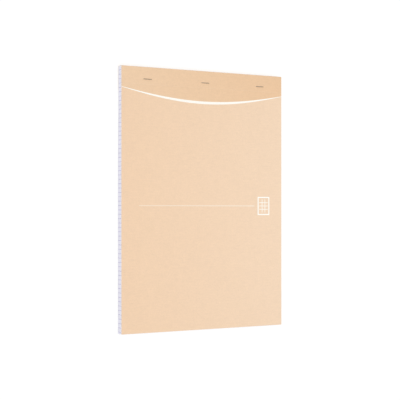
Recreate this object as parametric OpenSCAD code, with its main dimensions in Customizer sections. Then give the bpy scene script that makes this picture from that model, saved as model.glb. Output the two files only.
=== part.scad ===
// Head-stapled A4 writing pad, lying on its back board with the front cover up.
// X runs across the sheet, Y from the foot to the head, Z up. The origin is the
// middle of the footprint, on the surface that the pad lies on.

/* [Sheets] */
// Width of the trimmed pad
pad_w = 210; // [148:1:216]
// Length of the trimmed pad, from foot to head
pad_l = 297; // [260:1:330]
// Number of sheets in the block
sheet_count = 80; // [60:5:100]
// Thickness of one sheet with the air that lies between loose sheets
sheet_t = 0.104; // [0.095:0.001:0.12]

/* [Board and cover card] */
// Thickness of the back board
board_t = 0.9; // [0.7:0.1:1.5]
// Thickness of the cover card
cover_t = 0.35; // [0.25:0.05:0.5]
// Outside radius of the folds where the cover wraps the head
fold_r = 0.65; // [0.6:0.05:1]
// Length of cover folded back under the board, measured from the head
flap_l = 27; // [24:1:28]
// Distance from the head to the score that the front cover opens at
score_in = 19.5; // [18:0.5:24]
// Depth of that score in the face of the card
score_d = 0.07; // [0.04:0.01:0.12]
// Half of the score's width
score_w = 0.45; // [0.3:0.05:0.6]

/* [Squeezed head] */
// How far the folded flap lies above the table at the head
head_rise = 0.86; // [0.62:0.02:1.2]
// Length of board that lies flat at the head, under the staples
head_flat = 30; // [28:1:50]
// Length over which the back curves up to the head
taper_l = 98; // [60:1:110]

/* [Staples] */
// Number of staples across the head
staple_n = 3; // [2:1:4]
// Distance between staples
staple_pitch = 73.7; // [30:0.1:74]
// How far the row of staples sits to the right of the middle
staple_shift = 0.8; // [-2:0.1:2]
// Distance from the head to the line of staples
staple_in = 13.6; // [10:0.1:16]
// Outside width of a staple's crown
crown_w = 10.8; // [9.5:0.1:14]
// Diameter of the wire
wire_d = 0.65; // [0.5:0.05:0.75]
// How deep the crown is pressed into the card
crown_sink = 0.2; // [0.1:0.05:0.25]
// How deep the clinched ends are pressed into the flap
clinch_sink = 0.15; // [0.1:0.05:0.25]
// Length of each clinched end
clinch_l = 3.7; // [3:0.1:4]
// Angle at which the clinched ends bite back into the flap
clinch_a = 4.5; // [2:0.5:6]

/* [Hidden] */
$fn = 48;

slack = 0.05;                       // air between the head of the sheets and the fold
hole_gap = 0.02;                    // air round the wire in its holes and grooves
hw = pad_w / 2;
foot = -pad_l / 2;
head = pad_l / 2;
block_t = sheet_count * sheet_t;    // loose thickness, at the foot
z_card = board_t + block_t;         // underside of the cover card
z_top = z_card + cover_t;           // face of the cover
y_score = head - score_in;
y_staple = head - staple_in;
y_flat = head - head_flat;
lift = head_rise + cover_t;         // underside of the board at the head
in_r = fold_r - cover_t;            // inside radius of the folds
steps = 14;                         // flat facets along the curved back

// Height of the board's underside at y: flat on the table, then a smooth rise.
function ease(t) = t <= 0 ? 0 : t >= 1 ? 1 : t * t * (3 - 2 * t);
function back_z(y) = lift * ease((y - (y_flat - taper_l)) / taper_l);
function back_line(dz) =
    concat([[foot, dz]],
           [for (i = [0:steps]) let (y = y_flat - taper_l + taper_l * i / steps)
               [y, back_z(y) + dz]]);

// A profile drawn in Y and Z, run across the full width of the pad.
module across() {
    rotate([90, 0, 90]) translate([0, 0, -hw]) linear_extrude(height = pad_w)
        children();
}

// A quarter of a folded strip of card, opening towards -Y from its centre.
module fold_ring(up) {
    intersection() {
        difference() {
            circle(r = fold_r);
            circle(r = in_r);
        }
        translate([0, up ? 0 : -fold_r]) square([fold_r, fold_r]);
    }
}

// One staple in the plane Y = 0: crown on top, legs down, ends clinched inwards.
// r is the wire's radius, or a little more where the shape cuts its own holes.
crown_z = z_top - crown_sink + wire_d / 2;
clinch_z = head_rise + clinch_sink - wire_d / 2;
leg_x = (crown_w - wire_d) / 2;
crown_r = 0.8;                      // bend at the crown, on the wire's centre
clinch_r = 0.7;                     // bend at the clinch, on the wire's centre

module half_staple(r) {
    // crown, from the middle out
    translate([0, 0, crown_z]) rotate([0, 90, 0])
        cylinder(r = r, h = leg_x - crown_r);
    // upper bend
    translate([leg_x - crown_r, 0, crown_z - crown_r]) rotate([90, 0, 0])
        rotate_extrude(angle = 90) translate([crown_r, 0]) circle(r = r);
    // leg
    translate([leg_x, 0, clinch_z + clinch_r])
        cylinder(r = r, h = crown_z - crown_r - clinch_z - clinch_r);
    // lower bend, then the clinched end
    translate([leg_x - clinch_r, 0, clinch_z + clinch_r]) rotate([90, 0, 0]) {
        rotate([0, 0, -90 - clinch_a]) rotate_extrude(angle = 90 + clinch_a)
            translate([clinch_r, 0]) circle(r = r);
        rotate([0, 0, -90 - clinch_a]) translate([clinch_r, 0, 0])
            rotate([90, 0, 0]) cylinder(r = r, h = clinch_l);
    }
}

module staple(r) {
    half_staple(r);
    mirror([1, 0, 0]) half_staple(r);
}

module staple_row(r) {
    for (i = [0:staple_n - 1])
        translate([staple_shift + (i - (staple_n - 1) / 2) * staple_pitch, y_staple, 0])
            staple(r);
}

// The leaf of the cover that opens. Its head edge is half of the score.
module front_cover() {
    color([0.95, 0.83, 0.71])
    across() polygon([
        [foot, z_card], [y_score, z_card], [y_score, z_top - score_d],
        [y_score - score_w, z_top], [foot, z_top]]);
}

// The same card from the score over the head and under the board.
module cover_head() {
    color([0.93, 0.79, 0.65])
    difference() {
        across() {
            polygon([
                [y_score, z_card], [head - fold_r, z_card], [head - fold_r, z_top],
                [y_score + score_w, z_top], [y_score, z_top - score_d]]);
            translate([head - fold_r, z_top - fold_r]) fold_ring(true);
            translate([head - cover_t, head_rise + fold_r])
                square([cover_t, z_top - head_rise - 2 * fold_r]);
            translate([head - fold_r, head_rise + fold_r]) fold_ring(false);
            translate([head - flap_l, head_rise])
                square([flap_l - fold_r, cover_t]);
        }
        staple_row(wire_d / 2 + hole_gap);
    }
}

// All the sheets as one solid: square at the foot, squeezed thinner at the head.
module page_block() {
    color([0.88, 0.87, 0.91])
    difference() {
        across() polygon(concat(
            back_line(board_t),
            [[head - cover_t - slack, lift + board_t],
             [head - cover_t - slack, z_card - in_r - slack],
             [head - cover_t - slack - in_r - slack, z_card],
             [foot, z_card]]));
        staple_row(wire_d / 2 + hole_gap);
    }
}

// The stiff board: flat on the table, curving up a little to the stapled head.
module back_board() {
    color([0.80, 0.78, 0.76])
    difference() {
        across() polygon(concat(
            back_line(0),
            [[head - cover_t - slack - in_r - slack, lift],
             [head - cover_t - slack, lift + in_r + slack],
             [head - cover_t - slack, lift + board_t]],
            [for (i = [0:steps]) let (y = y_flat - taper_l * i / steps)
                [y, back_z(y) + board_t]],
            [[foot, board_t]]));
        staple_row(wire_d / 2 + hole_gap);
    }
}

module staples() {
    color([0.72, 0.70, 0.68]) staple_row(wire_d / 2);
}

front_cover();
cover_head();
page_block();
back_board();
staples();
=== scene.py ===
import math

import bmesh
import bpy
import numpy as np
from mathutils import Matrix, Vector


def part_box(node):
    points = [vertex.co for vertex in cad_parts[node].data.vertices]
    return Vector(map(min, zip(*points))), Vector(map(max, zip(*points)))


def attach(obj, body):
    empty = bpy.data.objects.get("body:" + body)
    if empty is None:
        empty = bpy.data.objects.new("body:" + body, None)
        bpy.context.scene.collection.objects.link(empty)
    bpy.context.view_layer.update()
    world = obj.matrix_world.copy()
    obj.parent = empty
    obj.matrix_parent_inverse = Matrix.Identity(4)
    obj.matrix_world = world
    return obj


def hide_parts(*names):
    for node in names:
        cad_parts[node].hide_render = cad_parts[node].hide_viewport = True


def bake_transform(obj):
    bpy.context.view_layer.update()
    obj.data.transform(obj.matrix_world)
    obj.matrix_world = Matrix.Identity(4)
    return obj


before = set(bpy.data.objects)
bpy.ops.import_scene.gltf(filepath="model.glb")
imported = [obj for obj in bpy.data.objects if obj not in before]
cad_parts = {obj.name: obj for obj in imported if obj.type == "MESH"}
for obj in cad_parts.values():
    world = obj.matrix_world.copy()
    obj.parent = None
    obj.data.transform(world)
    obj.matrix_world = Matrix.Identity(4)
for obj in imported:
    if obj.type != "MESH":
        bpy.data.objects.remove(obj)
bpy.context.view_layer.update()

# ----------------------------------------------------------------------------
# Sizes, in millimetres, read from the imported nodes. X across, Y foot to head.
# ----------------------------------------------------------------------------
MM = 0.001


def node_box(name):
    lo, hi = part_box(name)
    return [v / MM for v in lo], [v / MM for v in hi]


leaf_lo, leaf_hi = node_box("front_cover")
band_lo, band_hi = node_box("cover_head")
block_lo, block_hi = node_box("page_block")
board_lo, board_hi = node_box("back_board")
wire_lo, wire_hi = node_box("staples")

HW = leaf_hi[0]                  # half width
FOOT = leaf_lo[1]
SCORE = leaf_hi[1]
HEAD = band_hi[1]
Z_CARD = leaf_lo[2]              # underside of the cover
Z_TOP = band_hi[2]               # face of the cover
CARD = Z_TOP - Z_CARD
FLAP_Z = band_lo[2]              # underside of the flap
FLAP_Y = band_lo[1]              # free edge of the flap
FOLD = 0.65                      # outside radius of the folds
BOARD_T = block_lo[2]
BOARD_HEAD = board_hi[2]         # top of the board under the staples
WIRE = wire_hi[1] - wire_lo[1]
STAPLE_Y = (wire_hi[1] + wire_lo[1]) / 2
STAPLE_L = 10.8
STAPLE_X = [wire_lo[0] + STAPLE_L / 2, (wire_lo[0] + wire_hi[0]) / 2, wire_hi[0] - STAPLE_L / 2]
Y_FLAT = HEAD - 30.0
TAPER = 98.0


def ease(t):
    t = min(1.0, max(0.0, t))
    return t * t * (3 - 2 * t)


def board_top(y):
    return BOARD_T + (BOARD_HEAD - BOARD_T) * ease((y - (Y_FLAT - TAPER)) / TAPER)


def smooth_noise(a, b, seed):
    """A gentle surface wave between -1 and 1, from a few sines."""
    s = seed * 1.7
    return (
        math.sin(a * 1.00 + 0.7 * b + s)
        + 0.6 * math.sin(1.9 * b - 0.8 * a + 2.1 * s)
        + 0.4 * math.sin(2.7 * a + 1.3 * b + 0.3 * s)
    ) / 2.0


# ----------------------------------------------------------------------------
# Node helpers
# ----------------------------------------------------------------------------
class Tree:
    def __init__(self, name):
        self.mat = bpy.data.materials.new(name)
        self.mat.use_nodes = True
        self.t = self.mat.node_tree
        self.bsdf = self.t.nodes["Principled BSDF"]

    def node(self, kind, **props):
        n = self.t.nodes.new(kind)
        for k, v in props.items():
            setattr(n, k, v)
        return n

    def put(self, socket, value):
        if isinstance(value, bpy.types.NodeSocket):
            self.t.links.new(value, socket)
        else:
            socket.default_value = value

    def math(self, op, a, b=None, c=None, clamp=False):
        n = self.node("ShaderNodeMath", operation=op, use_clamp=clamp)
        self.put(n.inputs[0], a)
        if b is not None:
            self.put(n.inputs[1], b)
        if c is not None:
            self.put(n.inputs[2], c)
        return n.outputs[0]

    def add(self, a, b):
        return self.math("ADD", a, b)

    def sub(self, a, b):
        return self.math("SUBTRACT", a, b)

    def mul(self, a, b):
        return self.math("MULTIPLY", a, b)

    def below(self, a, edge):
        return self.math("LESS_THAN", a, edge)

    def above(self, a, edge):
        return self.math("GREATER_THAN", a, edge)

    def ramp(self, value, lo, hi, to_lo=0.0, to_hi=1.0, kind="LINEAR"):
        n = self.node("ShaderNodeMapRange", interpolation_type=kind, clamp=True)
        self.put(n.inputs["Value"], value)
        for k, v in (("From Min", lo), ("From Max", hi), ("To Min", to_lo), ("To Max", to_hi)):
            self.put(n.inputs[k], v)
        return n.outputs["Result"]

    def mix(self, factor, a, b):
        n = self.node("ShaderNodeMix", data_type="RGBA", clamp_factor=True)
        self.put(n.inputs["Factor"], factor)
        self.put(n.inputs["A"], a)
        self.put(n.inputs["B"], b)
        return n.outputs["Result"]

    def shade(self, colour, factor):
        """colour times a grey factor"""
        n = self.node("ShaderNodeMix", data_type="RGBA", blend_type="MULTIPLY")
        self.put(n.inputs["Factor"], 1.0)
        self.put(n.inputs["A"], colour)
        c = self.node("ShaderNodeCombineXYZ")
        for i in range(3):
            self.put(c.inputs[i], factor)
        self.put(n.inputs["B"], c.outputs[0])
        return n.outputs["Result"]

    def flat(self):
        """the card's unrolled coordinates, in millimetres"""
        n = self.node("ShaderNodeAttribute", attribute_type="GEOMETRY", attribute_name="flat")
        s = self.node("ShaderNodeSeparateXYZ")
        self.put(s.inputs[0], n.outputs["Vector"])
        return n.outputs["Vector"], s.outputs[0], s.outputs[1]

    def place(self, scale=1000.0):
        """object coordinates in millimetres, with their three parts"""
        n = self.node("ShaderNodeTexCoord")
        v = self.node("ShaderNodeVectorMath", operation="SCALE")
        self.put(v.inputs[0], n.outputs["Object"])
        v.inputs["Scale"].default_value = scale
        s = self.node("ShaderNodeSeparateXYZ")
        self.put(s.inputs[0], v.outputs[0])
        return v.outputs[0], s.outputs[0], s.outputs[1], s.outputs[2]

    def noise(self, vector, scale, detail=3.0, rough=0.5, squeeze=None):
        if squeeze:
            v = self.node("ShaderNodeVectorMath", operation="MULTIPLY")
            self.put(v.inputs[0], vector)
            v.inputs[1].default_value = squeeze
            vector = v.outputs[0]
        n = self.node("ShaderNodeTexNoise")
        self.put(n.inputs["Vector"], vector)
        n.inputs["Scale"].default_value = scale
        n.inputs["Detail"].default_value = detail
        n.inputs["Roughness"].default_value = rough
        return n.outputs["Fac"]

    def bump(self, height, strength, distance, under=None):
        n = self.node("ShaderNodeBump")
        n.inputs["Strength"].default_value = strength
        n.inputs["Distance"].default_value = distance
        self.put(n.inputs["Height"], height)
        if under is not None:
            self.put(n.inputs["Normal"], under)
        return n.outputs["Normal"]


def srgb(r, g, b):
    def lin(v):
        v /= 255.0
        return v / 12.92 if v <= 0.04045 else ((v + 0.055) / 1.055) ** 2.4

    return (lin(r), lin(g), lin(b), 1.0)


# ----------------------------------------------------------------------------
# Materials
# ----------------------------------------------------------------------------
TAN_LEFT = srgb(230, 198, 166)       # the field, from its left side
TAN_RIGHT = srgb(232, 204, 175.5)    # to its right side
BAND_LEFT = srgb(227.5, 195, 161)    # the head band, from its left end
BAND_RIGHT = srgb(225, 187.5, 149)   # to its right end
PAPER_WHITE = srgb(246, 244, 236)    # card left bare of ink
CORE = srgb(238, 233, 222)
SHEET = srgb(237, 236, 246)
RULE = srgb(150, 140, 190)
PITCH = 4.836                        # the ruling's squares, mm
RULE_Y0 = -11.09


def card_face():
    """The printed side: tan field, darker head band, a white crescent, a thin white line and a small ruled-sheet mark."""
    t = Tree("cover_print")
    vec, x, y = t.flat()

    def above_arc(middle, low, bend, ease_out):
        """1 on the head's side of a shallow arc that flattens a little towards its ends"""
        dx = t.sub(x, middle)
        square = t.mul(dx, dx)
        rise = t.mul(square, t.sub(bend, t.mul(square, ease_out)))
        return t.above(t.sub(y, rise), low)

    band = above_arc(1.2, 113.50, 0.00121, 1.4e-8)
    crescent = t.mul(above_arc(0.9, 110.55, 0.00147, 1.65e-8), t.sub(1.0, band))
    line = t.mul(
        t.below(t.math("ABSOLUTE", t.sub(y, -6.4)), t.ramp(x, -83.0, 67.0, 0.145, 0.245)),
        t.below(t.math("ABSOLUTE", t.sub(x, -8.3)), 75.3),
    )

    # a small sheet of squares: outline with a ruled grid inside
    mx, my = 79.7, -6.4
    ax = t.math("ABSOLUTE", t.sub(x, mx))
    ay = t.math("ABSOLUTE", t.sub(y, my))

    def inside(half_w, half_h):
        return t.mul(t.below(ax, half_w), t.below(ay, half_h))

    frame_ = t.mul(inside(8.2, 10.8), t.sub(1.0, inside(6.8, 9.4)))
    cell_x = t.below(t.math("ABSOLUTE", t.sub(ax, 1.95)), 0.36)
    cell_y = t.math("MAXIMUM", t.below(ay, 0.36), t.below(t.math("ABSOLUTE", t.sub(ay, 3.9)), 0.36))
    grid = t.mul(inside(5.85, 7.8), t.math("MAXIMUM", cell_x, cell_y))
    mark = t.math("MAXIMUM", frame_, grid)

    bare = t.math("MAXIMUM", t.math("MAXIMUM", crescent, line), mark)

    # ink: a soft mottle and the faint dots of a full printed tint
    across = t.ramp(x, -HW, HW)
    band_colour = t.mix(across, BAND_LEFT, BAND_RIGHT)
    ink = t.mix(band, t.mix(across, TAN_LEFT, TAN_RIGHT), band_colour)
    broad = t.noise(vec, 0.035, 2.0)
    cloud = t.noise(vec, 0.17, 3.0, 0.55)
    mottle = t.noise(vec, 0.5, 4.0, 0.6)
    lay = t.noise(vec, 0.42, 3.0, 0.6, (0.22, 1.5, 1.0))
    fine = t.noise(vec, 5.5, 3.0, 0.6)
    ink = t.shade(ink, t.add(t.ramp(broad, 0.3, 0.7, 0.993, 1.007), t.ramp(cloud, 0.3, 0.7, -0.016, 0.016)))
    ink = t.shade(ink, t.add(t.ramp(mottle, 0.25, 0.75, 0.962, 1.038), t.ramp(lay, 0.3, 0.7, -0.018, 0.018)))
    ink = t.shade(ink, t.ramp(fine, 0.25, 0.75, 0.98, 1.02))
    # the tint lies a little unevenly, so the paper shows through it as a warmer or cooler tan
    ink = t.mix(t.ramp(t.noise(vec, 0.11, 3.0, 0.6), 0.35, 0.65, 0.0, 0.05), ink, srgb(236, 205, 160))
    card = t.shade(PAPER_WHITE, t.ramp(mottle, 0.25, 0.75, 0.99, 1.0))
    colour = t.mix(bare, ink, card)
    # the score and the folds show a little paler: partly the coated face stretched there, partly a painted highlight
    # along each fold
    crease = t.ramp(t.math("ABSOLUTE", t.sub(y, SCORE)), 0.0, 0.5, 0.10, 0.0, "SMOOTHSTEP")
    fold1 = t.ramp(t.math("ABSOLUTE", t.sub(y, HEAD - 0.15)), 0.15, 0.7, 0.22, 0.0, "SMOOTHSTEP")
    low_fold = HEAD - 0.15 + FOLD * math.pi / 2 + Z_TOP - FLAP_Z - 2 * FOLD
    fold2 = t.ramp(t.math("ABSOLUTE", t.sub(y, low_fold)), 0.15, 0.7, 0.30, 0.0, "SMOOTHSTEP")
    fold_highlight_and_wear = t.mul(
        t.math("MAXIMUM", t.math("MAXIMUM", crease, fold1), fold2),
        t.ramp(t.noise(vec, 2.3, 4.0, 0.7), 0.35, 0.65, 0.2, 1.0),
    )
    colour = t.mix(fold_highlight_and_wear, colour, PAPER_WHITE)
    t.put(t.bsdf.inputs["Base Color"], colour)
    # satin coat over paper: uneven gloss, a fine felt grain
    t.put(t.bsdf.inputs["Roughness"], t.add(t.ramp(mottle, 0.25, 0.75, 0.44, 0.52), t.mul(bare, 0.04)))
    t.bsdf.inputs["Specular IOR Level"].default_value = 0.5
    grain = t.noise(vec, 7.0, 5.0, 0.65)
    felt = t.noise(vec, 1.1, 3.0, 0.5)
    n = t.bump(felt, 0.35, 0.00002)
    n = t.bump(grain, 0.35, 0.000012, n)
    t.put(t.bsdf.inputs["Normal"], n)
    return t.mat


def card_inside():
    t = Tree("cover_inside")
    vec, x, y = t.flat()
    mottle = t.noise(vec, 0.35, 4.0, 0.6)
    fibre = t.noise(vec, 3.0, 5.0, 0.65, (1.0, 0.25, 1.0))
    colour = t.mix(t.ramp(mottle, 0.3, 0.7), srgb(240, 236, 226), srgb(244, 241, 233))
    colour = t.shade(colour, t.ramp(fibre, 0.3, 0.7, 0.975, 1.0))
    t.put(t.bsdf.inputs["Base Color"], colour)
    t.bsdf.inputs["Roughness"].default_value = 0.78
    t.bsdf.inputs["Specular IOR Level"].default_value = 0.3
    t.put(t.bsdf.inputs["Normal"], t.bump(fibre, 0.4, 0.00003))
    return t.mat


def card_edge():
    t = Tree("cover_edge")
    vec, x, y = t.flat()
    layers = t.noise(vec, 0.9, 4.0, 0.6, (1.0, 1.0, 14.0))
    colour = t.mix(t.ramp(layers, 0.3, 0.7), CORE, srgb(228, 216, 196))
    t.put(t.bsdf.inputs["Base Color"], colour)
    t.bsdf.inputs["Roughness"].default_value = 0.85
    t.put(t.bsdf.inputs["Normal"], t.bump(layers, 0.5, 0.00003))
    return t.mat


def tick_mask(t, along, y0, pitch, jitter, half):
    """1 on the ends of the ruling, which a few tenths of register shift from sheet to sheet"""
    at = t.add(t.sub(along, y0), jitter)
    near = t.math("PINGPONG", t.add(at, 400 * pitch), pitch / 2)
    return t.ramp(near, half * 0.6, half * 1.4, 1.0, 0.0, "SMOOTHSTEP")


def sheet_edges():
    """The trimmed sides of the sheets: white paper, the ends of the ruling, faint streaks from the knife."""
    t = Tree("sheet_edges")
    vec, x, y, z = t.place()
    own = t.node("ShaderNodeAttribute", attribute_type="GEOMETRY", attribute_name="sheet")
    parts = t.node("ShaderNodeSeparateXYZ")
    t.put(parts.inputs[0], own.outputs["Vector"])
    shift, tone, side = parts.outputs
    along_y = tick_mask(t, y, RULE_Y0, PITCH, shift, 0.24)
    along_x = tick_mask(t, x, 0.0, PITCH, shift, 0.24)
    ticks = t.math("ADD", t.mul(along_y, t.below(side, 0.5)), t.mul(along_x, t.above(side, 0.5)))
    paper = t.shade(SHEET, tone)
    streak = t.noise(vec, 0.6, 4.0, 0.65, (1.0, 1.0, 0.05))
    cloud = t.noise(vec, 0.25, 3.0, 0.5)
    paper = t.shade(paper, t.add(t.ramp(streak, 0.3, 0.7, 0.975, 1.0), t.ramp(cloud, 0.3, 0.7, -0.01, 0.01)))
    grain = t.noise(vec, 9.0, 3.0, 0.6, (1.0, 0.35, 1.0))
    strength = t.mul(ticks, t.ramp(grain, 0.3, 0.7, 0.5, 0.9))
    colour = t.mix(strength, paper, RULE)
    t.put(t.bsdf.inputs["Base Color"], colour)
    t.bsdf.inputs["Roughness"].default_value = 0.88
    t.bsdf.inputs["Specular IOR Level"].default_value = 0.25
    n = t.bump(streak, 0.4, 0.00003)
    t.put(t.bsdf.inputs["Normal"], t.bump(grain, 0.4, 0.00002, n))
    return t.mat


def plain_paper():
    t = Tree("sheet_plain")
    vec, x, y, z = t.place()
    mottle = t.noise(vec, 0.5, 4.0, 0.6)
    t.put(t.bsdf.inputs["Base Color"], t.shade(SHEET, t.ramp(mottle, 0.3, 0.7, 0.99, 1.0)))
    t.bsdf.inputs["Roughness"].default_value = 0.8
    t.bsdf.inputs["Specular IOR Level"].default_value = 0.3
    return t.mat


def ruled_paper():
    """The face of the top sheet: thin lilac squares that run off every edge, and a row of fine perforations under the staples."""
    t = Tree("sheet_ruled")
    vec, x, y, z = t.place()
    wobble = t.mul(t.sub(t.noise(vec, 0.02, 1.0), 0.5), 0.15)
    gx = t.math("PINGPONG", t.add(t.add(x, 400 * PITCH), wobble), PITCH / 2)
    gy = t.math("PINGPONG", t.add(t.add(t.sub(y, RULE_Y0), 400 * PITCH), wobble), PITCH / 2)
    near = t.math("MINIMUM", gx, gy)
    line = t.ramp(near, 0.09, 0.17, 1.0, 0.0)
    dots = t.noise(vec, 8.0, 2.0, 0.6)
    line = t.mul(line, t.ramp(dots, 0.3, 0.6, 0.5, 0.75))
    mottle = t.noise(vec, 0.5, 4.0, 0.6)
    fine = t.noise(vec, 6.0, 4.0, 0.6)
    paper = t.shade(SHEET, t.ramp(mottle, 0.3, 0.7, 0.985, 1.0))
    paper = t.shade(paper, t.ramp(fine, 0.3, 0.7, 0.99, 1.005))
    colour = t.mix(line, paper, RULE)
    # perforation: short slits across the sheet, darkened grey in the colour as painted shade inside the cuts
    slit = t.math("PINGPONG", t.add(x, 400.0), 0.35)
    perf = t.mul(t.below(t.math("ABSOLUTE", t.sub(y, HEAD - 22.0)), 0.05), t.below(slit, 0.22))
    colour = t.mix(t.mul(perf, 0.6), colour, srgb(132, 128, 136))
    t.put(t.bsdf.inputs["Base Color"], colour)
    t.bsdf.inputs["Roughness"].default_value = 0.62
    t.bsdf.inputs["Specular IOR Level"].default_value = 0.35
    n = t.bump(fine, 0.25, 0.00001)
    t.put(t.bsdf.inputs["Normal"], t.bump(t.sub(1.0, perf), 0.8, 0.00006, n))
    return t.mat


def lined_board():
    """Board of pressed fibre with a white lining: pale plies at its cut edge, flecks that show through its face."""
    t = Tree("lined_board")
    vec, x, y, z = t.place()
    cloud = t.noise(vec, 0.05, 4.0, 0.6)
    mottle = t.noise(vec, 0.6, 5.0, 0.65)
    colour = t.mix(t.ramp(cloud, 0.3, 0.7), srgb(226, 224, 221), srgb(232, 230, 227))
    colour = t.shade(colour, t.ramp(mottle, 0.25, 0.75, 0.965, 1.02))
    # short fibres and flecks of the pulp under the lining
    for scale, squeeze, edge, tint, much in (
        (0.8, (1.0, 3.2, 1.0), 0.69, srgb(168, 165, 166), 0.40),
        (0.9, (3.4, 1.0, 1.0), 0.69, srgb(176, 170, 163), 0.40),
        (0.45, (1.0, 2.0, 1.0), 0.72, srgb(176, 158, 140), 0.30),
        (1.3, (2.4, 1.2, 1.0), 0.70, srgb(250, 249, 247), 0.50),
    ):
        f = t.noise(vec, scale, 3.0, 0.55, squeeze)
        colour = t.mix(t.ramp(f, edge - 0.03, edge + 0.03, 0.0, much), colour, tint)
    # plies, seen only where the board is cut
    geo = t.node("ShaderNodeNewGeometry")
    facing = t.node("ShaderNodeSeparateXYZ")
    t.put(facing.inputs[0], geo.outputs["True Normal"])
    cut = t.below(t.math("ABSOLUTE", facing.outputs[2]), 0.6)
    ply = t.noise(vec, 0.5, 4.0, 0.65, (1.0, 1.0, 12.0))
    colour = t.mix(t.mul(cut, 0.75), colour, srgb(236, 235, 242))
    colour = t.mix(t.mul(cut, t.ramp(ply, 0.35, 0.65, 0.0, 0.5)), colour, srgb(210, 208, 213))
    t.put(t.bsdf.inputs["Base Color"], colour)
    t.put(t.bsdf.inputs["Roughness"], t.add(t.ramp(mottle, 0.25, 0.75, 0.66, 0.76), t.mul(cut, 0.15)))
    t.bsdf.inputs["Specular IOR Level"].default_value = 0.3
    n = t.bump(mottle, 0.4, 0.00004)
    t.put(t.bsdf.inputs["Normal"], t.bump(t.mul(ply, cut), 0.5, 0.00006, n))
    return t.mat


def steel_wire():
    """Galvanised stitching wire, drawn lengthwise, so its scratches run along it."""
    t = Tree("staple_wire")
    vec, x, y, z = t.place()
    drawn = t.noise(vec, 2.0, 3.0, 0.6, (0.25, 9.0, 0.6))
    dull = t.noise(vec, 1.4, 4.0, 0.6)
    # the metal's colour is darker than bright steel: painted shade, standing in for the wire's shadow and the dark
    # surroundings it would reflect
    colour = t.mix(t.ramp(drawn, 0.3, 0.7), srgb(142, 135, 127), srgb(174, 167, 159))
    t.put(t.bsdf.inputs["Base Color"], colour)
    t.bsdf.inputs["Metallic"].default_value = 1.0
    t.put(t.bsdf.inputs["Roughness"], t.ramp(dull, 0.3, 0.7, 0.20, 0.32))
    t.put(t.bsdf.inputs["Normal"], t.bump(drawn, 0.3, 0.00001))
    return t.mat


# ----------------------------------------------------------------------------
# The cover: one card, from the foot over the score and the head to the flap
# ----------------------------------------------------------------------------
def spaced(a, b, step):
    n = max(1, int(round(abs(b - a) / step)))
    return [a + (b - a) * i / n for i in range(n)]


def columns():
    """X of the cover's columns: close round the staples, wide elsewhere."""
    # the rounding of the cut edge ends within 0.04 mm, and the next column keeps its shading there
    xs, at = [-HW, -HW + 0.04, -HW + 0.2], -HW + 0.2
    for sx in STAPLE_X:
        xs += spaced(at, sx - 8.0, 5.5)[1:]
        xs += spaced(sx - 8.0, sx + 8.0, 0.42)
        at = sx + 8.0
    xs += spaced(at, HW - 0.2, 5.5) + [HW - 0.2, HW - 0.04, HW]
    return xs


def profile():
    """Rows of the card's outer face: y, z, outward normal (ny, nz) and unrolled length."""
    rows = []
    ys = [FOOT, FOOT + 0.04, FOOT + 0.2]
    ys += spaced(FOOT + 0.2, SCORE - 9.0, 6.0)[1:]
    ys += spaced(SCORE - 9.0, SCORE - 2.0, 1.0)
    ys += spaced(SCORE - 2.0, SCORE + 1.0, 0.1)
    ys += spaced(SCORE + 1.0, STAPLE_Y - 3.2, 0.8)
    ys += spaced(STAPLE_Y - 3.2, STAPLE_Y + 3.2, 0.2)
    ys += spaced(STAPLE_Y + 3.2, HEAD - FOLD - 0.15, 1.6) + [HEAD - FOLD - 0.15, HEAD - FOLD]
    for y in ys:
        rows.append([y, Z_TOP, 0.0, 1.0, y])
    s = HEAD - FOLD
    for i in range(1, 9):
        a = math.pi / 2 * i / 8
        rows.append([HEAD - FOLD + FOLD * math.sin(a), Z_TOP - FOLD + FOLD * math.cos(a), math.sin(a), math.cos(a), s + FOLD * a])
    s += FOLD * math.pi / 2
    z0, z1 = Z_TOP - FOLD, FLAP_Z + FOLD
    for i in range(1, 7):
        z = z0 + (z1 - z0) * i / 6
        rows.append([HEAD, z, 1.0, 0.0, s + z0 - z])
    s += z0 - z1
    for i in range(1, 9):
        a = math.pi / 2 * i / 8
        rows.append([HEAD - FOLD + FOLD * math.cos(a), FLAP_Z + FOLD - FOLD * math.sin(a), math.cos(a), -math.sin(a), s + FOLD * a])
    s += FOLD * math.pi / 2
    ys = spaced(HEAD - FOLD - 0.15, STAPLE_Y + 3.2, 1.6)
    ys += spaced(STAPLE_Y + 3.2, STAPLE_Y - 3.2, 0.2)
    ys += spaced(STAPLE_Y - 3.2, FLAP_Y + 0.2, 1.6) + [FLAP_Y + 0.2, FLAP_Y + 0.04, FLAP_Y]
    for y in ys:
        rows.append([y, FLAP_Z, 0.0, -1.0, s + HEAD - FOLD - y])
    return rows


def pressed(x, y, sink):
    """How deep the wire presses the card at x, y."""
    deep = 0.0
    for sx in STAPLE_X:
        past = max(0.0, abs(x - sx) - STAPLE_L / 2 + 0.5)
        dy = abs(y - STAPLE_Y)
        deep = max(deep, sink * math.exp(-((dy / 0.95) ** 2)) * math.exp(-((past / 0.9) ** 2)))
    return deep


def lift(x, y):
    """A new card cover is never dead flat: it stands off the sheets by a tenth or two."""
    free = ease((SCORE - 1.0 - y) / 60.0)
    u, v = x / HW, (y - FOOT) / (SCORE - FOOT)
    wave = 0.06 + 0.05 * smooth_noise(x / 46.0, y / 58.0, 1)
    corner = 0.10 * (abs(u) ** 5) * ((1 - v) ** 4)
    return free * (wave + corner)


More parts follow.
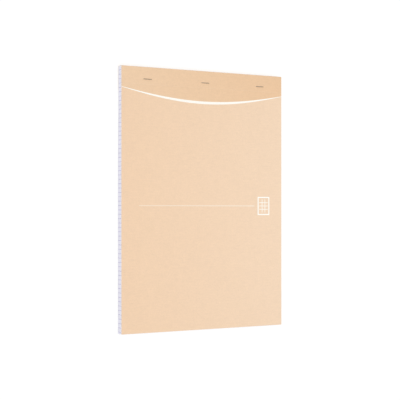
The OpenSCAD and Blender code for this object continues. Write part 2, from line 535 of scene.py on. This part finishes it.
def make_cover():
    xs, rows = columns(), profile()
    nx, nr = len(xs), len(rows)
    last = nr - 1
    verts, flat = [], []
    for side in (0, 1):                       # outer face, then inner
        for j, (y, z, ny, nz, s) in enumerate(rows):
            for i, x in enumerate(xs):
                py, pz = y, z
                up = lift(x, y) if (nz == 1.0 and y < SCORE) else 0.0
                if side == 0:
                    depth = 0.0
                    if nz == 1.0:
                        depth += pressed(x, y, 0.215)
                        depth += 0.07 * max(0.0, 1 - abs(y - SCORE) / 0.45) ** 1.2
                    elif nz == -1.0:
                        depth += pressed(x, y, 0.165)
                    if i in (0, nx - 1) or j in (0, last):
                        depth += 0.035
                    py -= ny * depth
                    pz -= nz * depth
                else:
                    thick = CARD - (0.035 if (i in (0, nx - 1) or j in (0, last)) else 0.0)
                    py -= ny * thick
                    pz -= nz * thick
                verts.append((x * MM, py * MM, (pz + up) * MM))
                flat.append((x, s, CARD * side))
    faces, mats = [], []

    def at(side, j, i):
        return side * nx * nr + j * nx + i

    for j in range(nr - 1):
        for i in range(nx - 1):
            rim = 2 if i in (0, nx - 2) or j in (0, last - 1) else None
            faces.append((at(0, j, i), at(0, j, i + 1), at(0, j + 1, i + 1), at(0, j + 1, i)))
            mats.append(0)
            faces.append((at(1, j, i), at(1, j + 1, i), at(1, j + 1, i + 1), at(1, j, i + 1)))
            mats.append(1)
        faces.append((at(0, j, 0), at(0, j + 1, 0), at(1, j + 1, 0), at(1, j, 0)))
        faces.append((at(0, j, nx - 1), at(1, j, nx - 1), at(1, j + 1, nx - 1), at(0, j + 1, nx - 1)))
        mats += [2, 2]
    for i in range(nx - 1):
        faces.append((at(0, 0, i), at(1, 0, i), at(1, 0, i + 1), at(0, 0, i + 1)))
        faces.append((at(0, last, i), at(0, last, i + 1), at(1, last, i + 1), at(1, last, i)))
        mats += [2, 2]
    me = bpy.data.meshes.new("cover")
    me.from_pydata(verts, [], faces)
    for m in (card_face(), card_inside(), card_edge()):
        me.materials.append(m)
    me.polygons.foreach_set("material_index", mats)
    me.polygons.foreach_set("use_smooth", [True] * len(faces))
    a = me.attributes.new("flat", "FLOAT_VECTOR", "POINT")
    a.data.foreach_set("vector", np.array(flat, np.float32).ravel())
    # a map with the printed face as large as it goes, the inside next to it and the cut edges in strips
    uv = me.uv_layers.new(name="OFBake")
    s_lo, s_hi = rows[0][4], rows[-1][4]
    coords = np.zeros((len(me.loops), 2), np.float32)
    half = nx * nr
    for p, m in zip(me.polygons, mats):
        for li in p.loop_indices:
            v = me.loops[li].vertex_index
            x, s, _ = flat[v]
            u, w = (x + HW) / (2 * HW), (s - s_lo) / (s_hi - s_lo)
            if m == 0:
                c = (0.006 + 0.69 * u, 0.006 + 0.988 * w)
            elif m == 1:
                c = (0.706 + 0.236 * u, 0.006 + 0.988 * w)
            else:
                out = 0.0 if v < half else 1.0
                ends = len(set(me.loops[k].vertex_index % nx for k in p.loop_indices)) > 1
                if ends:       # foot edge and flap edge
                    base = 0.976 if w < 0.5 else 0.986
                    c = (base + 0.006 * out, 0.006 + 0.988 * u)
                else:
                    base = 0.950 if x < 0 else 0.962
                    c = (base + 0.007 * out, 0.006 + 0.988 * w)
            coords[li] = c
    uv.data.foreach_set("uv", coords.ravel())
    me.update()
    me.validate()
    ob = bpy.data.objects.new("cover", me)
    bpy.context.scene.collection.objects.link(ob)
    me.set_sharp_from_angle(angle=math.radians(50))
    return ob


# ----------------------------------------------------------------------------
# The sheets: each one a thin slab, squeezed together towards the head
# ----------------------------------------------------------------------------
SHEETS = 80


def stations():
    ys = [FOOT] + spaced(FOOT + 4.0, Y_FLAT - TAPER, 24.0)
    ys += spaced(Y_FLAT - TAPER, Y_FLAT, 7.0) + [Y_FLAT, HEAD - 8.0]
    return ys


def rng(seed):
    return np.random.default_rng(seed)


def head_end(z):
    """How far towards the head a sheet at this height reaches before it meets the inside of the fold."""
    up, inner = max(0.0, z - (Z_TOP - FOLD)), FOLD - CARD
    return HEAD - FOLD + math.sqrt(max(0.0, inner * inner - up * up))


def sheet_rows(k, r, top_gap):
    """One sheet's stations: y, left, right, lower and upper z."""
    out = []
    foot_dy = r.normal(0, 0.022)
    left_dx, right_dx = r.normal(0, 0.02), r.normal(0, 0.02)
    head_dy = min(0.2, abs(r.normal(0, 0.06)))
    ph = r.uniform(0, 20)
    lo, hi = board_top(HEAD) + 0.012, Z_CARD - top_gap
    rows = stations() + [head_end(lo + (hi - lo) * (k + 1) / SHEETS) - 0.06 - head_dy]
    for n, y in enumerate(rows):
        lo, hi = board_top(y) + 0.012, Z_CARD - top_gap
        p = (hi - lo) / SHEETS
        wave = 0.006 * math.sin(y / 21.0 + ph) + 0.004 * math.sin(y / 7.0 + 2 * ph)
        wl = 0.008 * math.sin(y / 33.0 + ph)
        z0 = lo + p * k + p * 0.04 + (wave if 0 < k < SHEETS - 1 else 0.0) * 0.4
        z1 = lo + p * (k + 1) - p * 0.05 + (wave if 0 < k < SHEETS - 1 else 0.0) * 0.4
        yy = y + foot_dy if n == 0 else y
        yy = max(yy, FOOT)
        out.append((yy, max(-HW, -HW + left_dx + wl), min(HW, HW + right_dx + wl), z0, z1))
    return out


def make_sheets(name, which, top_gap, face_mat):
    """Slabs for the given sheet numbers, as one mesh."""
    verts, faces, mats, info, loops_uv = [], [], [], [], []
    for k in which:
        r = rng(1000 + k)
        shift, tone = float(r.normal(0, 0.11)), float(np.clip(1.0 + r.normal(0, 0.022), 0.93, 1.04))
        rows = sheet_rows(k, r, top_gap)
        base = len(verts)
        for y, xl, xr, z0, z1 in rows:
            verts += [(xl * MM, y * MM, z0 * MM), (xr * MM, y * MM, z0 * MM), (xr * MM, y * MM, z1 * MM), (xl * MM, y * MM, z1 * MM)]
        n = len(rows)

        def v(i, c):
            return base + 4 * i + c

        def quad(a, b, c, d, mat, part):
            faces.append((a, b, c, d))
            mats.append(mat)
            info.append((shift, tone, 1.0 if part in ("foot", "head") else 0.0, k, part))

        for i in range(n - 1):
            quad(v(i, 0), v(i + 1, 0), v(i + 1, 1), v(i, 1), 1, "under")
            quad(v(i, 3), v(i, 2), v(i + 1, 2), v(i + 1, 3), 2, "face")
            quad(v(i, 0), v(i, 3), v(i + 1, 3), v(i + 1, 0), 0, "left")
            quad(v(i, 1), v(i + 1, 1), v(i + 1, 2), v(i, 2), 0, "right")
        quad(v(0, 0), v(0, 1), v(0, 2), v(0, 3), 0, "foot")
        quad(v(n - 1, 0), v(n - 1, 3), v(n - 1, 2), v(n - 1, 1), 0, "head")
    me = bpy.data.meshes.new(name)
    me.from_pydata(verts, [], faces)
    for m in (MAT_EDGES, MAT_PLAIN, face_mat):
        me.materials.append(m)
    me.polygons.foreach_set("material_index", mats)
    a = me.attributes.new("sheet", "FLOAT_VECTOR", "FACE")
    a.data.foreach_set("vector", np.array([q[:3] for q in info], np.float32).ravel())
    me.update()
    ob = bpy.data.objects.new(name, me)
    bpy.context.scene.collection.objects.link(ob)
    return ob, info


def map_sheets(ob, info, single):
    """A map with an island of its own for each kind of face, except that in the stack the faces and undersides share
    one. In the stack, each edge's strip has a row for each sheet.
    """
    # where each strip starts, and how wide it is
    strips = (
        {"left": (0.960, 0.006), "right": (0.970, 0.006), "foot": (0.980, 0.006), "head": (0.990, 0.006)}
        if single
        else {"left": (0.01, 0.29), "right": (0.32, 0.29), "foot": (0.63, 0.19), "head": (0.84, 0.10)}
    )
    me = ob.data
    uv = me.uv_layers.new(name="OFBake")
    coords = np.zeros((len(me.loops), 2), np.float32)
    for p in me.polygons:
        k, part = info[p.index][3:]
        for li in p.loop_indices:
            i = me.loops[li].vertex_index
            q = me.vertices[i].co
            u, w = (q.x / MM + HW) / (2 * HW), (q.y / MM - FOOT) / (HEAD - FOOT)
            high = 1.0 if i % 4 >= 2 else 0.0
            if part in strips:
                start, wide = strips[part]
                across = high if single else (k + 0.10 + 0.80 * high) / SHEETS
                along = 0.01 + 0.98 * (u if part in ("foot", "head") else w)
                c = (start + wide * across, along) if single else (along, start + wide * across)
            elif single:
                c = (0.006 + 0.89 * u, 0.006 + 0.988 * w) if part == "face" else (0.906 + 0.044 * u, 0.006 + 0.988 * w)
            else:
                c = (0.01 + 0.98 * u, 0.955 + 0.035 * w)
            coords[li] = c
    uv.data.foreach_set("uv", coords.ravel())


MAT_EDGES, MAT_PLAIN, MAT_RULED = sheet_edges(), plain_paper(), ruled_paper()
cover = make_cover()
sheets, sheets_info = make_sheets("sheets", range(SHEETS - 1), 0.02, MAT_PLAIN)
top_sheet, top_info = make_sheets("top_sheet", [SHEETS - 1], 0.02, MAT_RULED)
map_sheets(sheets, sheets_info, False)
map_sheets(top_sheet, top_info, True)

# ----------------------------------------------------------------------------
# Carried-over CAD nodes
# ----------------------------------------------------------------------------
for name, mat in (("back_board", lined_board()), ("staples", steel_wire())):
    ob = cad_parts[name]
    ob.data.materials.clear()
    ob.data.materials.append(mat)
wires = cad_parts["staples"]
wires.data.polygons.foreach_set("use_smooth", [True] * len(wires.data.polygons))

# ----------------------------------------------------------------------------
# What moves with what
# ----------------------------------------------------------------------------
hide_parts("front_cover", "cover_head")
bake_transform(cover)
for ob in (sheets, top_sheet):
    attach(ob, "pad")
    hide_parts("page_block")

# ----------------------------------------------------------------------------
# Camera, floor and lights
# ----------------------------------------------------------------------------
THETA = math.radians(28.811)
FOCAL_PX, HORIZON_PX = 1043.13, 210.20
TX, TY, TZ = -5.499, -11.434, 1199.786
right = Vector((math.cos(THETA), 0, math.sin(THETA)))
up = Vector((0, 1, 0))
away = Vector((math.sin(THETA), 0, -math.cos(THETA)))
eye = (TX * right + TY * up - TZ * away) * MM + Vector((0, 0, Z_TOP * MM))
cam = bpy.data.cameras.new("camera")
cam_ob = bpy.data.objects.new("camera", cam)
bpy.context.scene.collection.objects.link(cam_ob)
basis = Matrix((right, up, -away)).transposed().to_4x4()
cam_ob.matrix_world = Matrix.Translation(eye) @ basis
cam.sensor_fit = "HORIZONTAL"
cam.sensor_width = 36.0
cam.lens = FOCAL_PX * 36.0 / 400.0
cam.shift_y = (HORIZON_PX - 200.0) / 400.0
cam.clip_start, cam.clip_end = 0.05, 20.0
bpy.context.scene.camera = cam_ob


def make_floor():
    # a white light table: it glows a little itself, which keeps the shadow round the pad faint
    t = Tree("floor")
    t.bsdf.inputs["Base Color"].default_value = (0.40, 0.40, 0.40, 1)
    t.bsdf.inputs["Roughness"].default_value = 0.9
    t.bsdf.inputs["Specular IOR Level"].default_value = 0.1
    t.bsdf.inputs["Emission Color"].default_value = (1, 1, 1, 1)
    t.bsdf.inputs["Emission Strength"].default_value = 0.61
    me = bpy.data.meshes.new("floor")
    s = 9.0
    z = -0.0001
    me.from_pydata([(-s, -s, z), (s, -s, z), (s, s, z), (-s, s, z)], [], [(0, 1, 2, 3)])
    me.materials.append(t.mat)
    ob = bpy.data.objects.new("floor", me)
    bpy.context.scene.collection.objects.link(ob)
    return ob


make_floor()


def make_backdrop():
    # a pale dome far behind the floor. Only the camera sees it, so it doesn't light the pad
    t = Tree("backdrop")
    t.bsdf.inputs["Base Color"].default_value = (0, 0, 0, 1)
    t.bsdf.inputs["Specular IOR Level"].default_value = 0.0
    t.bsdf.inputs["Emission Color"].default_value = (1, 1, 1, 1)
    t.bsdf.inputs["Emission Strength"].default_value = 0.86
    bm = bmesh.new()
    bmesh.ops.create_uvsphere(bm, u_segments=48, v_segments=24, radius=8.5)
    for f in bm.faces:
        f.smooth = True
    me = bpy.data.meshes.new("backdrop")
    bm.to_mesh(me)
    bm.free()
    me.materials.append(t.mat)
    ob = bpy.data.objects.new("backdrop", me)
    bpy.context.scene.collection.objects.link(ob)
    ob.visible_diffuse = ob.visible_glossy = ob.visible_transmission = False
    ob.visible_volume_scatter = ob.visible_shadow = False
    return ob


make_backdrop()


def area(name, at, aim, size, power, colour=(1, 1, 1)):
    d = bpy.data.lights.new(name, "AREA")
    d.shape = "RECTANGLE"
    d.size, d.size_y = size
    d.energy = power
    d.color = colour
    ob = bpy.data.objects.new(name, d)
    bpy.context.scene.collection.objects.link(ob)
    ob.location = at
    ob.rotation_mode = "QUATERNION"
    ob.rotation_quaternion = (Vector(aim) - Vector(at)).to_track_quat("-Z", "Y")
    return ob


world = bpy.data.worlds.new("studio")
bpy.context.scene.world = world
world.use_nodes = True
world.node_tree.nodes["Background"].inputs["Color"].default_value = (1, 1, 1, 1)
world.node_tree.nodes["Background"].inputs["Strength"].default_value = 0.55
area("key_left", (-0.7, -0.05, 1.7), (0, 0, 0), (1.5, 1.7), 17.6)
area("right_sheen", (0.98, -0.05, 0.95), (0, 0, 0), (0.7, 1.5), 5.1)

scene = bpy.context.scene
scene.view_settings.view_transform = "Standard"
scene.view_settings.look = "None"
scene.view_settings.exposure = 0.0
scene.view_settings.gamma = 1.0
